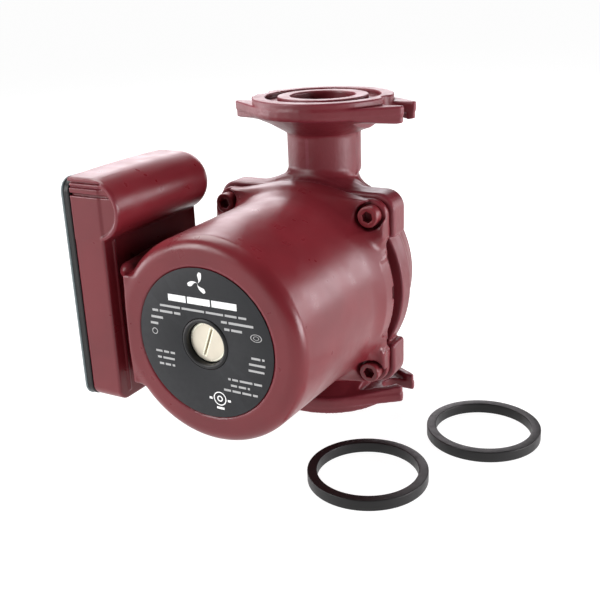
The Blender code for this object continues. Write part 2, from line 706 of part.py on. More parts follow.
def make_box_fittings(finishes):
    """What the terminal box holds, and what holds the box."""
    way = rounded_rect(*WIRE_WAY, 4)
    seal = rounded_rect(-106.5, -52.0, 47.0, 95.0, 4)
    faces = (BOX_RIGHT_X + GAP, PAD_FACE_X - GAP)
    gasket = extruded("terminal_box_gasket", seal, *faces, finishes["rubber"], "X")
    holes = [extruded("gasket_way", way, -60, -48, along="X")]
    for number, (y, z) in enumerate(BOX_SCREWS, 1):
        holes.append(cylinder(f"gasket_hole_{number}", (y, z), 2.3, -60, -48, along="X", steps=12))
        head = (-57.2, BOX_RIGHT_X - BOX_WALL - GAP)
        make_screw(
            f"terminal_box_screw_{number}", (y, z), *head, -44.8, 3.6, 2.0, 1.8, finishes["steel"], "X", -1
        )
    cut(gasket, *holes)

    blank_r, low, high = KNOCKOUT_R - GAP, BOX_Z[0] + 0.4, BOX_Z[0] + 2.0
    blank = [(0, low), (blank_r, low), (blank_r, high), (0, high)]
    turned("knockout_blank", blank, finishes["paint"], "Z", (*KNOCKOUT, 0), steps=28)

    x, z = CAPACITOR_AXIS
    low, high = -114.0, -58.0
    can = [(0, low), (CAPACITOR_R - 1, low), (CAPACITOR_R, low + 1), (CAPACITOR_R, high - 1)]
    can += [(CAPACITOR_R - 1, high), (3.0, high), (3.0, high + 2), (0, high + 2)]
    turned("capacitor", can, finishes["capacitor"], "Y", (x, 0, z), steps=24)

    block = rounded_rect(-74.0, -54.5, 48.0, 82.0, 1.0, 1)
    faces = (-64.0, BOX_RIGHT_X - BOX_WALL - GAP)
    base = extruded("terminal_block", block, *faces, finishes["black_plastic"], "X")
    holes = []
    for number, place in enumerate(TERMINALS, 1):
        holes.append(cylinder(f"terminal_recess_{number}", place, 3.4, -66, -60, along="X"))
        holes.append(cylinder(f"terminal_thread_{number}", place, 1.8, -66, -56, along="X", steps=12))
        make_screw(
            f"terminal_screw_{number}",
            place,
            -63.2,
            -60.3,
            -57.0,
            3.0,
            1.5,
            1.4,
            finishes["brass"],
            "X",
            -1,
        )
    cut(base, *holes)
    make_screw(
        "ground_screw", GROUND_PLACE, -57.8, -54.8, -53.2, 3.8, 1.9, 1.8, finishes["green_steel"], "X", -1
    )
    for name, points in LEAD_ROUTES.items():
        tube(name, points, WIRE_R, finishes["wire"])


def make_cover(finishes):
    """The lid on the box's left, its gasket and its two screws."""
    outline = box_side_outline(-0.7)
    lid = extruded("terminal_box_cover", outline, *COVER_X, finishes["cover_paint"], along="X")
    band = (BOX_LEFT_X - GAP - 1.8, BOX_LEFT_X - GAP)
    gasket = extruded("cover_gasket", box_side_outline(0.0), *band, finishes["rubber"], "X")
    cut(gasket, extruded("gasket_window", box_side_outline(BOX_WALL), -74, -66, along="X"))
    holes = []
    for number, (y, z) in enumerate(COVER_SCREWS, 1):
        holes.append(cylinder(f"cover_hole_{number}", (y, z), 2.2, -76, -66, along="X", steps=12))
        holes.append(cylinder(f"cover_sink_{number}", (y, z), 3.9, -76, COVER_X[0] + 1.4, along="X"))
        make_screw(
            f"cover_screw_{number}",
            (y, z),
            COVER_X[0] - 1.2,
            COVER_X[0] + 1.1,
            -58.0,
            3.5,
            1.8,
            1.6,
            finishes["steel"],
            "X",
            -1,
        )
    cut(lid, *holes)


# ---------------------------------------------------------------- the pump


def make_flange_gaskets(material):
    for name, (x, y) in GASKET_PLACES.items():
        inner, outer, top = GASKET_IN_R, GASKET_OUT_R, GASKET_HEIGHT
        ring = [(inner, 0), (outer, 0), (outer, top), (inner, top)]
        turned(name, ring, material, "Z", (x, y, 0), steps=40)


def main():
    for old in list(bpy.data.objects):
        bpy.data.objects.remove(old, do_unlink=True)
    finishes = {
        "cast_paint": finish("cast_paint", (0.23, 0.035, 0.045), 0.5),
        "paint": finish("paint", (0.25, 0.035, 0.045), 0.4),
        "screw_paint": finish("screw_paint", (0.23, 0.04, 0.05), 0.5),
        "cover_paint": finish("cover_paint", (0.1, 0.12, 0.12), 0.5),
        "rubber": finish("rubber", (0.02, 0.02, 0.02), 0.7),
        "label": finish("label", (0.05, 0.05, 0.055), 0.6),
        "nickel": finish("nickel", (0.72, 0.69, 0.6), 0.35, 0.8),
        "stainless": finish("stainless", (0.6, 0.6, 0.58), 0.3, 1.0),
        "steel": finish("steel", (0.5, 0.5, 0.5), 0.35, 1.0),
        "green_steel": finish("green_steel", (0.05, 0.3, 0.08), 0.4, 0.6),
        "laminations": finish("laminations", (0.3, 0.3, 0.31), 0.5, 0.9),
        "copper": finish("copper", (0.6, 0.25, 0.1), 0.4, 0.9),
        "ceramic": finish("ceramic", (0.85, 0.82, 0.75), 0.3),
        "carbon": finish("carbon", (0.03, 0.03, 0.03), 0.5),
        "brass": finish("brass", (0.7, 0.5, 0.2), 0.35, 1.0),
        "capacitor": finish("capacitor", (0.75, 0.75, 0.72), 0.5),
        "black_plastic": finish("black_plastic", (0.02, 0.02, 0.02), 0.5),
        "wire": finish("wire", (0.02, 0.05, 0.2), 0.5),
    }
    make_volute(finishes["cast_paint"])
    make_neck_ring(finishes["stainless"])
    make_housing(finishes["paint"])
    make_rotor_can(finishes["stainless"])
    make_motor_inside(finishes)
    make_rotor(finishes)
    for number, place in enumerate(screw_places(), 1):
        sizes = (-36.4, -30.4, -12.5, 5.2, 3.0, 2.9)
        make_screw(f"housing_screw_{number}", place, *sizes, finishes["screw_paint"], "Y", -1)
    make_nameplate(finishes["label"])
    make_vent(finishes)
    make_terminal_box(finishes["paint"])
    make_box_fittings(finishes)
    make_cover(finishes)
    make_flange_gaskets(finishes["rubber"])


main()
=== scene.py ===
"""The looks of an in-line circulator pump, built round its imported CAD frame.

Shapes are in millimetres from the pump's own origin, the centre of the bottom flange's sealing face:
+Z runs up the pipe, -Y points out of the front of the motor. ORIGIN places them in the frame.
Cast pieces are distance fields, so that their edges and fillets are round, and are then meshed.
"""

import json
import math

import bmesh
import bpy
import numpy as np
import openvdb
from mathutils import Matrix, Vector


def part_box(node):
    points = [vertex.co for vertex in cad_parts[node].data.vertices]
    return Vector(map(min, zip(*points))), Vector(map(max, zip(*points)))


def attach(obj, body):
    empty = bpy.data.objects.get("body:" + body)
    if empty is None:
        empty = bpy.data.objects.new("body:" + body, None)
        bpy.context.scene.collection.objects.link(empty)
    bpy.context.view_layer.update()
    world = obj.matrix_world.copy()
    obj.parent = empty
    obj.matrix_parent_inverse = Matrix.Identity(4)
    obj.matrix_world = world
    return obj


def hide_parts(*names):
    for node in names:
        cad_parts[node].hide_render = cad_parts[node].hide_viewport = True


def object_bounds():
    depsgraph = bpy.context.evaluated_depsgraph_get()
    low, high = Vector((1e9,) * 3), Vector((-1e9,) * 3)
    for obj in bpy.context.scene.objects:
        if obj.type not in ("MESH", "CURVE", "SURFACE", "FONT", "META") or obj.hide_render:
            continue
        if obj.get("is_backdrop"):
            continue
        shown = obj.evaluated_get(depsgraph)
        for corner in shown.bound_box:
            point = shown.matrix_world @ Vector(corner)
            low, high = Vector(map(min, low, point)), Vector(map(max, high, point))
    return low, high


MM = 0.001
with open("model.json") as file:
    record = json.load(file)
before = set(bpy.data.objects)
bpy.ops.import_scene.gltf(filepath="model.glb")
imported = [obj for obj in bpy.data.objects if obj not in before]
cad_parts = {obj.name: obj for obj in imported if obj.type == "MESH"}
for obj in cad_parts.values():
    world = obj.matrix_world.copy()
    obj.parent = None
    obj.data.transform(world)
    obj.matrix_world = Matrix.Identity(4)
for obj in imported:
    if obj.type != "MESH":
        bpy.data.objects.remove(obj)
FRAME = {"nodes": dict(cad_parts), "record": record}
CAD_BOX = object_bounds()

# Where the pump's own origin is: on the motor axis in X, and 38 mm in front of the volute's back in Y
PLUG_LOW, PLUG_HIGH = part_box("vent_plug")
VOLUTE_LOW, VOLUTE_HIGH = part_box("volute_casing")
VOLUTE_BACK_Y = 38.0
ORIGIN = Vector(((PLUG_LOW.x + PLUG_HIGH.x) / 2, VOLUTE_HIGH.y - VOLUTE_BACK_Y * MM, VOLUTE_LOW.z))
AXIS_Z = (PLUG_LOW.z + PLUG_HIGH.z) / 2 / MM
FACE_TO_FACE = (VOLUTE_HIGH.z - VOLUTE_LOW.z) / MM
FRONT_Y = (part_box("stator_housing")[0].y - ORIGIN.y) / MM
BOX_LOW, BOX_HIGH = ((corner - ORIGIN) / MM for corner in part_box("terminal_box"))

# Pipe flanges
PORT_R, PORT_DEPTH, BORE_R = 17.0, 15.0, 14.5
LAND_R, GROOVE_R, GROOVE_DEPTH = 23.6, 30.1, 2.8
GASKET_INNER_R = 23.8
FACE_R, FACE_HEIGHT = 36.6, 3.2
EAR_REACH, EAR_TIP_HALF, EAR_DISC_R, EAR_BOTTOM = 48.0, 10.4, 37.0, 9.0
SEAT_DEPTH, WEB_BOTTOM, EAR_RIB = 8.4, 18.4, 3.4
BOLT_X, SLOT_HALF = 40.1, 6.5
NECK_R = 19.3
# Radius of each neck at heights up the pipe
TOP_NECK = [(100, 33), (111, 31), (114.6, 25.4), (117.4, 21.6), (120.5, 19.2), (123.4, 18.0)]
TOP_NECK += [(124.6, 18.0), (125.6, 18.8), (127.2, NECK_R), (150, NECK_R)]
BOTTOM_NECK = [(10, NECK_R), (24, NECK_R), (26, 20.6), (28.5, 24), (44, 24)]

# Planes across the motor axis
FLANGE_FRONT_Y, SEAM_Y, LUG_BACK_Y = -34.0, -25.0, -11.0
MOUTH_FLOOR_Y, CHAMBER_FLOOR_Y, PARTITION_BACK_Y = -20.5, -2.5, 1.5

# Volute and motor
SCROLL_Z, BELLY_CENTRE, RING_R = 76.0, (-5.0, 72.0), 54.0
EYE_R, CHAMBER_R, MOUTH_R = 19.3, 43.0, 46.5
# Half sections of the scroll and of its fuller back, as radius and Y
SCROLL = [(-30, -20), (51.5, -20), (52.5, -12), (52, -6), (48.5, 2), (43, 12), (37, 22), (31, 31), (25.5, 38)]
SCROLL.append((-30, 38))
BELLY = [(-30, -15), (44, -15), (44, 14), (42, 22), (37, 30), (30, 35.5), (23, 37.6), (-30, 37.6)]
VOLUTE_HALF, HOUSING_HALF = 50.3, 48.4
SCREW_PITCH, SCREW_HOLE_R = 41.0, 3.4
# The lugs stop this far from the motor axis, upward and sideways
LUG_REACH, LUG_INNER_X = 28.5, 38.0
# Between them, the joint between motor and volute is an open gap outside this radius
GAP_R, GAP_BACK_Y = 48.4, -22.2
HOUSING_FRONT_R, HOUSING_BACK_R, ROOM_R = 49.0, 51.5, 45.6
LABEL_R, FRONT_HOLE_R = 35.3, 12.2

# Terminal box
CAPACITOR_AXIS, BULGE_R, BOX_WALL = (-56.0, 127.2), 14.6, 2.4
WIRE_WAY = (-100.0, -76.0, 58.0, 84.0)
BOX_SCREWS = [(-68.0, 90.0), (-98.0, 52.0)]
COVER_SCREWS = [(-112.0, 41.5), (-55.0, 103.0)]
GROUND_PLACE = (-108.0, 66.0)
# Grooves across the top of its front: lower and upper edge, and depth
BOX_GROOVES = [(139.0, 139.9, 1.3), (136.8, 137.6, 1.0), (133.2, 134.6, 1.5)]
KNOCKOUT = (-60.0, -66.0)

COARSE = 1.0

# ---------------------------------------------------------------- distance fields


def meet(a, b, radius=0.0):
    """Where both fields are inside, the edge between them rounded."""
    sharp = np.maximum(a, b)
    if not radius:
        return sharp
    return np.minimum(-radius, sharp) + np.hypot(np.maximum(radius + a, 0), np.maximum(radius + b, 0))


def join(a, b, radius=0.0):
    """Where either field is inside, the corner between them filled."""
    return -meet(-a, -b, radius)


def carve(a, b, radius=0.0):
    """Where a is inside and b is not."""
    return meet(a, -b, radius)


def band(value, low, high):
    return np.abs(value - (low + high) / 2) - (high - low) / 2


def circle(u, v, centre, radius):
    return np.hypot(u - centre[0], v - centre[1]) - radius


def panel(u, v, low_u, high_u, low_v, high_v, radius):
    """A rectangle with rounded corners."""
    du, dv = band(u, low_u, high_u) + radius, band(v, low_v, high_v) + radius
    return np.hypot(np.maximum(du, 0), np.maximum(dv, 0)) + np.minimum(np.maximum(du, dv), 0) - radius


def polygon(u, v, points):
    """Distance to a closed outline, negative inside."""
    nearest, inside = None, False
    for (ax, ay), (bx, by) in zip(points, points[1:] + points[:1]):
        ex, ey = bx - ax, by - ay
        wu, wv = u - ax, v - ay
        share = np.clip((wu * ex + wv * ey) / (ex * ex + ey * ey), 0, 1)
        square = (wu - ex * share) ** 2 + (wv - ey * share) ** 2
        nearest = square if nearest is None else np.minimum(nearest, square)
        if ey:
            inside = inside ^ (((ay > v) != (by > v)) & (wu < wv * (ex / ey)))
    return np.sqrt(nearest) * np.where(inside, -1, 1)


def hexagon(u, v, radius, turn):
    """A hexagon about the middle, as big as a circle of that radius through its corners."""
    angles = [turn + math.pi / 3 * i for i in range(3)]
    flats = [np.abs(u * math.cos(angle) + v * math.sin(angle)) for angle in angles]
    return np.maximum(np.maximum(flats[0], flats[1]), flats[2]) - radius * math.sqrt(0.75)


def sculpt(name, field, low, high, pitch):
    """Meshes the surface where a field is zero, then slides every vertex onto it exactly."""
    pitch *= COARSE
    low = np.array(low, float) - 2 * pitch
    counts = np.ceil((np.array(high) - low) / pitch).astype(int) + 3
    xs, ys, zs = (np.float32(low[i] + pitch * np.arange(counts[i])) for i in range(3))
    samples = np.empty(counts, np.float32)
    for start in range(0, counts[0], 8):
        part = xs[start : start + 8]
        samples[start : start + 8] = field(part[:, None, None], ys[None, :, None], zs[None, None, :])
    grid = openvdb.FloatGrid(3 * pitch)
    grid.copyFromArray(np.clip(samples, -3 * pitch, 3 * pitch))
    points, quads = grid.convertToQuads()
    points = low + points.astype(float) * pitch
    nudge = 0.02
    for _ in range(2):
        here = field(*points.T)
        slopes = []
        for i in range(3):
            ahead, behind = points.copy(), points.copy()
            ahead[:, i] += nudge
            behind[:, i] -= nudge
            slopes.append((field(*ahead.T) - field(*behind.T)) / (2 * nudge))
        slope = np.stack(slopes, 1)
        step = here / np.maximum((slope**2).sum(1), 0.2)
        points -= slope * np.clip(step, -pitch, pitch)[:, None]
    mesh = bpy.data.meshes.new(name)
    mesh.from_pydata(points, [], quads)
    return finish_mesh(name, mesh)


def finish_mesh(name, mesh, centre=(0, 0, 0), sharp=None):
    """Turns a mesh in millimetres into an object in the frame, its faces pointing out."""
    shape = bmesh.new()
    shape.from_mesh(mesh)
    bmesh.ops.recalc_face_normals(shape, faces=shape.faces)
    if shape.calc_volume(signed=True) < 0:
        bmesh.ops.reverse_faces(shape, faces=shape.faces)
    shape.to_mesh(mesh)
    shape.free()
    mesh.transform(Matrix.Translation(ORIGIN) @ Matrix.Scale(MM, 4) @ Matrix.Translation(Vector(centre)))
    mesh.shade_smooth()
    if sharp:
        mesh.set_sharp_from_angle(angle=math.radians(sharp))
    made = bpy.data.objects.new(name, mesh)
    bpy.context.scene.collection.objects.link(made)
    return made


def softened(points, radius, steps=4):
    """Rounds the corners of a closed outline."""
    path = []
    count = len(points)
    for i, point in enumerate(points):
        here, before, after = Vector(point), Vector(points[i - 1]), Vector(points[(i + 1) % count])
        back, ahead = before - here, after - here
        reach = min(radius, back.length * 0.45, ahead.length * 0.45)
        first, last = here + back.normalized() * reach, here + ahead.normalized() * reach
        for step in range(steps + 1):
            t = step / steps
            path.append(tuple(first * (1 - t) ** 2 + here * 2 * t * (1 - t) + last * t**2))
    return path


def turned(name, profile, axis, centre, steps=96):
    """Turns a profile of (radius, distance) points about an axis. It closes on itself or on the axis."""
    shape = bmesh.new()
    verts = [shape.verts.new((radius, 0, distance)) for radius, distance in profile]
    solid = profile[0][0] == 0 and profile[-1][0] == 0
    edges = [shape.edges.new(pair) for pair in zip(verts, verts[1:] if solid else verts[1:] + verts[:1])]
    bmesh.ops.spin(
        shape, geom=verts + edges, cent=(0, 0, 0), axis=(0, 0, 1), angle=math.tau, steps=steps, use_merge=True
    )
    bmesh.ops.remove_doubles(shape, verts=shape.verts, dist=0.0005)
    for vertex in shape.verts:
        u, v, w = vertex.co
        vertex.co = {"X": (w, u, v), "Y": (u, w, v), "Z": (u, v, w)}[axis]
    mesh = bpy.data.meshes.new(name)
    shape.to_mesh(mesh)
    shape.free()
    return finish_mesh(name, mesh, centre, sharp=40)


# ---------------------------------------------------------------- materials


class Shader:
    """A Principled material whose look comes from nodes in the object's own space."""

    def __init__(self, name, roughness=0.5, metallic=0.0, **inputs):
        self.material = bpy.data.materials.new(name)
        self.material.use_nodes = True
        self.tree = self.material.node_tree
        self.shader = self.tree.nodes["Principled BSDF"]
        self.set(self.shader, Roughness=roughness, Metallic=metallic, **inputs)
        self.space = self.node("ShaderNodeTexCoord").outputs["Object"]
        self.bumps = None

    def set(self, node, **inputs):
        for key, value in inputs.items():
            socket = node.inputs[key.replace("_", " ")]
            if isinstance(value, bpy.types.NodeSocket):
                self.tree.links.new(value, socket)
            elif isinstance(value, tuple) and len(value) == 3:
                socket.default_value = (*value, 1.0)
            else:
                socket.default_value = value

    def node(self, kind, settings=None, **inputs):
        made = self.tree.nodes.new(kind)
        for key, value in (settings or {}).items():
            setattr(made, key, value)
        self.set(made, **inputs)
        return made

    def noise(self, size, detail=2.0, stretch=(1, 1, 1)):
        """Noise whose grains are that many millimetres across."""
        space = self.node("ShaderNodeMapping", Vector=self.space)
        space.inputs["Scale"].default_value = stretch
        scale = 1 / (size * MM)
        made = self.node("ShaderNodeTexNoise", Vector=space.outputs["Vector"], Scale=scale, Detail=detail)
        return made.outputs["Fac"]

    def spread(self, value, low, high, to_low=0.0, to_high=1.0):
        """Stretches the range low to high of a value over another range."""
        made = self.node("ShaderNodeMapRange", Value=value)
        for key, number in zip(("From Min", "From Max", "To Min", "To Max"), (low, high, to_low, to_high)):
            made.inputs[key].default_value = number
        return made.outputs["Result"]

    def mix(self, share, a, b):
        made = self.node("ShaderNodeMix", {"data_type": "RGBA"})
        self.set(made, Factor=share)
        for index, value in ((6, a), (7, b)):
            if isinstance(value, bpy.types.NodeSocket):
                self.tree.links.new(value, made.inputs[index])
            else:
                made.inputs[index].default_value = (*value, 1.0)
        return made.outputs[2]

    def colour(self, value):
        self.set(self.shader, **{"Base_Color": value})

    def roughness(self, value):
        self.set(self.shader, Roughness=value)

    def bump(self, height, depth):
        """Adds relief that many millimetres deep."""
        made = self.node("ShaderNodeBump", Height=height, Distance=depth * MM, Strength=1.0)
        if self.bumps:
            self.set(made, Normal=self.bumps)
        self.bumps = made.outputs["Normal"]
        self.set(self.shader, Normal=self.bumps)

    def edges(self):
        """How strongly the surface turns outward here, from 0 to 1."""
        return self.spread(self.node("ShaderNodeNewGeometry").outputs["Pointiness"], 0.51, 0.56)

    def hollows(self):
        """How strongly the surface turns inward here, from 0 to 1."""
        return self.spread(self.node("ShaderNodeNewGeometry").outputs["Pointiness"], 0.47, 0.41)


def shade(colour, amount):
    """A colour made that many times as bright."""
    return tuple(min(1.0, channel * amount) for channel in colour)


def red_paint(name, colour, roughness, cast):
    """Satin baked paint. Over a sand casting it follows the rough skin; over a die casting it is smooth."""
    made = Shader(name, roughness, IOR=1.45)
    cloud = made.spread(made.noise(24.0), 0.35, 0.65)
    tone = made.mix(cloud, shade(colour, 0.93), shade(colour, 1.07))
    if cast:
        speck = made.spread(made.noise(1.1, 3.0), 0.66, 0.76, 0.0, 0.2)
        tone = made.mix(speck, tone, shade(colour, 0.7))
    # Edges lighter and pinker: partly paint worn thin, partly a painted highlight.
    tone = made.mix(made.edges(), tone, shade((colour[0], colour[1] * 1.5, colour[2] * 1.5), 1.2))
    # On the casting, hollows and creases are painted darker: painted shade where shade falls.
    if cast:
        tone = made.mix(made.hollows(), tone, shade(colour, 0.55))
    made.colour(tone)
    made.roughness(made.spread(made.noise(9.0), 0.3, 0.7, roughness - 0.04, roughness + 0.06))
    if cast:
        made.bump(made.noise(3.5, 4.0), 0.16)
        made.bump(made.noise(0.9, 2.0), 0.045)
    else:
        made.bump(made.noise(1.6, 1.0), 0.012)
        made.bump(made.noise(14.0, 0.0), 0.03)
    return made.material


def plain(
    name, colour, roughness, metallic=0.0, grain=0.6, depth=0.01, tone=0.08, stretch=(1, 1, 1), **inputs
):
    """One colour with a fine grain, slight clouding and lighter edges, partly worn and partly a painted
    highlight.
    """
    made = Shader(name, roughness, metallic, **inputs)
    cloud = made.spread(made.noise(7.0, 3.0), 0.3, 0.7)
    colours = made.mix(cloud, shade(colour, 1 - tone), shade(colour, 1 + tone))
    # Edges lighter: partly wear, partly a painted highlight.
    made.colour(made.mix(made.edges(), colours, shade(colour, 1.5)))
    made.roughness(made.spread(made.noise(3.0, 3.0, stretch), 0.3, 0.7, roughness - 0.06, roughness + 0.06))
    made.bump(made.noise(grain, 2.0, stretch), depth)
    return made.material


def layered(name, colour, gap_colour, pitch, axis, roughness, metallic):
    """Fine layers across an axis, such as stacked sheets or turns of wire."""
    made = Shader(name, roughness, metallic)
    scale = 1 / (pitch * MM * 20)
    settings = {"bands_direction": axis}
    wave = made.node("ShaderNodeTexWave", settings, Vector=made.space, Scale=scale, Distortion=0.6)
    lines = wave.outputs["Fac"]
    made.colour(made.mix(made.spread(lines, 0.1, 0.6), gap_colour, colour))
    made.bump(lines, pitch * 0.25)
    return made.material


MATT = {"Specular_IOR_Level": 0.35}
FINISHES = {
    "cast_paint": red_paint("cast_paint", (0.145, 0.014, 0.021), 0.4, True),
    "housing_paint": red_paint("paint", (0.15, 0.013, 0.019), 0.31, False),
    "screw_paint": plain("screw_paint", (0.17, 0.018, 0.024), 0.36, depth=0.008),
    "cover_paint": plain("cover_paint", (0.1, 0.125, 0.13), 0.42, grain=0.9),
    "rubber": plain("rubber", (0.008, 0.0075, 0.0078), 0.45, grain=0.5, depth=0.012, **MATT),
    "label": plain("label", (0.011, 0.0115, 0.0135), 0.5, grain=0.4, depth=0.004, tone=0.05, **MATT),
    "nickel": plain("nickel", (0.72, 0.66, 0.54), 0.34, 0.55, grain=1.2, depth=0.02, tone=0.05),
    "stainless": plain("stainless", (0.6, 0.6, 0.58), 0.25, 1.0, grain=0.25, stretch=(0.1, 1, 1)),
    "steel": plain("steel", (0.55, 0.56, 0.57), 0.32, 1.0, grain=0.3),
    "green_steel": plain("green_steel", (0.03, 0.26, 0.07), 0.35, 0.5),
    "laminations": layered("laminations", (0.33, 0.33, 0.34), (0.08, 0.07, 0.06), 0.5, "Y", 0.45, 0.9),
    "copper": layered("copper", (0.62, 0.24, 0.09), (0.16, 0.05, 0.02), 0.8, "Z", 0.32, 0.85),
    "ceramic": plain("ceramic", (0.84, 0.81, 0.74), 0.22, grain=0.3, depth=0.003, tone=0.03),
    "carbon": plain("carbon", (0.02, 0.02, 0.021), 0.38),
    "brass": plain("brass", (0.72, 0.5, 0.18), 0.28, 1.0, grain=0.3),
    "capacitor": plain("capacitor", (0.76, 0.76, 0.72), 0.4, depth=0.006, tone=0.03),
    "black_plastic": plain("black_plastic", (0.018, 0.018, 0.019), 0.45),
    "wire": plain("wire", (0.015, 0.045, 0.22), 0.38, depth=0.004),
}
INK = plain("label_ink", (0.78, 0.77, 0.74), 0.5, grain=0.3, depth=0.003, tone=0.04)
FAINT_INK = plain("label_faint_ink", (0.3, 0.3, 0.3), 0.5, grain=0.3, depth=0.003, tone=0.04)


def place(piece, body, slot, *nodes, material=None):
    """Gives a finished piece its material and its body, and hides the CAD nodes that it stands for."""
    piece.data.materials.append(material or FINISHES[slot])
    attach(piece, body)
    if nodes:
        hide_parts(*nodes)
    return piece


# ---------------------------------------------------------------- volute


def ear_outline(radius):
    """The flange's disc and ears as straight flanks, drawn in by the radius that rounds its corners."""
    reach, tip, disc = EAR_REACH - radius, EAR_TIP_HALF - radius, EAR_DISC_R - radius
    touch = math.atan2(tip, reach) + math.acos(disc / math.hypot(reach, tip))
    steps = 8
    quarter = [touch + (math.pi - 2 * touch) * i / steps for i in range(steps + 1)]
    top = [(disc * math.cos(a), disc * math.sin(a)) for a in quarter]
    upper = [(reach, tip), *top, (-reach, tip)]
    return upper + [(u, -v) for u, v in upper[::-1]]


def flange(x, y, depth):
    """One pipe flange, at that depth behind its sealing face, without its port."""
    from_axis = np.hypot(x, y)
    corner = 2.0
    ears = polygon(x, y, ear_outline(corner)) - corner
    plate = meet(ears, band(depth, FACE_HEIGHT, EAR_BOTTOM - 1.0), 0.7)
    face = meet(from_axis - FACE_R, band(depth, 0, EAR_BOTTOM), 0.5)
    # The web behind the plate starts deeper out on the ears, which leaves them a thick rib
    start = EAR_BOTTOM - 1.0 + EAR_RIB * np.clip((np.abs(x) - 22) / 22, 0, 1)
    share = np.clip((depth - start) / (WEB_BOTTOM - start), 0, 1)
    web = ((ears + 0.5) * (1 - share) + (from_axis - NECK_R) * share) * 0.85
    web = meet(web, band(depth, EAR_BOTTOM - 3, WEB_BOTTOM + 0.5), 0.5)
    shape = join(join(plate, face, 0.5), web, 0.3)

    flank = math.atan2(EAR_DISC_R * 0.8 - EAR_TIP_HALF, EAR_REACH - EAR_DISC_R * 0.6)
    rib = 5.2
    half_seat = EAR_TIP_HALF - rib / math.cos(flank) + (EAR_REACH - np.abs(x)) * math.tan(flank)
    seat = meet((np.abs(y) - half_seat) * math.cos(flank), 27.0 - np.abs(x), 1.5)
    seat = meet(seat, SEAT_DEPTH - depth, 0.8)
    shape = carve(shape, seat, 1.0)
    reach = np.maximum(BOLT_X - np.abs(x), 0)
    slot = np.hypot(reach, y) - SLOT_HALF
    shape = carve(shape, slot, 0.7)
    groove = meet(band(from_axis, LAND_R, GROOVE_R), depth - GROOVE_DEPTH, 0.4)
    return carve(shape, groove, 0.4)


SCROLL_OUTLINE = softened(SCROLL, 3.0, 2)
BELLY_OUTLINE = softened(BELLY, 3.0, 2)


def volute(x, y, z):
    from_motor_axis = np.hypot(x, z - AXIS_Z)
    from_pipe_axis = np.hypot(x, y)
    scroll = polygon(np.hypot(x, z - SCROLL_Z), y, SCROLL_OUTLINE)
    belly = polygon(np.hypot(x - BELLY_CENTRE[0], z - BELLY_CENTRE[1]), y, BELLY_OUTLINE)
    scroll = join(scroll, belly, 5.0)

    half = VOLUTE_HALF
    lugs = panel(x, z, -half, half, AXIS_Z - half, AXIS_Z + half, 9.0)
    side = LUG_INNER_X - np.abs(x)
    lugs = carve(lugs, meet(np.abs(z - AXIS_Z) - LUG_REACH, side), 2.0)
    lugs = meet(lugs, band(y, SEAM_Y, LUG_BACK_Y), 1.6)
    ring = meet(from_motor_axis - RING_R, band(y, SEAM_Y, -12), 1.3)
    shape = join(scroll, join(lugs, ring, 1.5), 2.5)
    # Between the lugs the joint face is set back, and shows as a dark gap
    set_back = meet(meet(GAP_R - from_motor_axis, y - GAP_BACK_Y), np.abs(z - AXIS_Z) - 28, 1.0)
    shape = carve(shape, meet(set_back, side), 0.5)

    top_neck = meet((from_pipe_axis - np.interp(z, *zip(*TOP_NECK))) * 0.8, band(z, 100, 155))
    bottom_neck = meet((from_pipe_axis - np.interp(z, *zip(*BOTTOM_NECK))) * 0.8, band(z, 10, 44))
    shape = join(join(shape, top_neck, 3.0), bottom_neck, 8.0)
    shape = carve(shape, meet(y - SEAM_Y, band(z, 19, 124)))

    # The line where the two halves of the mould met
    seam = meet(meet(shape - 0.45, band(y, -0.9, 0.6)), band(z, 18, 147))
    shape = join(shape, seam, 0.4)

    for depth in (z, FACE_TO_FACE - z):
        shape = join(shape, flange(x, y, depth), 0.8)
        seat_room = meet(np.hypot(np.maximum(BOLT_X - np.abs(x), 0), y) - SLOT_HALF, depth - WEB_BOTTOM)
        shape = carve(shape, seat_room, 0.7)

    for depth, reach in ((z, 29), (FACE_TO_FACE - z, FACE_TO_FACE - 104)):
        port = meet(from_pipe_axis - PORT_R, depth - PORT_DEPTH, 1.0)
        bore = meet(from_pipe_axis - BORE_R, depth - reach)
        shape = carve(shape, join(port, bore), 0.6)
    throat = meet(panel(x, y, -14, 14, 2, 16.4, 5), band(z, 27.5, 36))
    room = join(circle(x, z, (0, AXIS_Z), 21), panel(x, z, -18, 18, 27, AXIS_Z, 3))
    suction = join(throat, meet(room, band(y, PARTITION_BACK_Y, 25.5), 3.0), 2.0)
    eye = meet(from_motor_axis - EYE_R, band(y, CHAMBER_FLOOR_Y - 1, PARTITION_BACK_Y + 1))
    chamber = meet(from_motor_axis - CHAMBER_R, y - CHAMBER_FLOOR_Y, 2.0)
    mouth = meet(from_motor_axis - MOUTH_R, y - MOUTH_FLOOR_Y)
    for hollow in (suction, eye, chamber, mouth):
        shape = carve(shape, hollow, 0.4)
    threads = circle(np.abs(x), np.abs(z - AXIS_Z), (SCREW_PITCH, SCREW_PITCH), SCREW_HOLE_R)
    return carve(shape, meet(threads, y - LUG_BACK_Y))


place(
    sculpt("casing", volute, (-52, -38.5, 0), (52, VOLUTE_BACK_Y, FACE_TO_FACE), 0.8),
    "pump_body", "cast_paint", "volute_casing",
)  # fmt: skip


# ---------------------------------------------------------------- motor


PAD_Z = (44.0, 98.0)
PAD = [(-20, FRONT_Y + 4), (-42.0, FRONT_Y + 0.8), (-43.8, FRONT_Y + 0.8), (-50.6, FRONT_Y + 12.7)]
PAD += [(-50.6, -50), (-46, -46), (-20, -46)]
PAD_OUTLINE = softened(PAD, 1.0, 2)
BAR_X, BAR_Y, BAR_R = -45.4, (-111.5, -90.0), 4.2


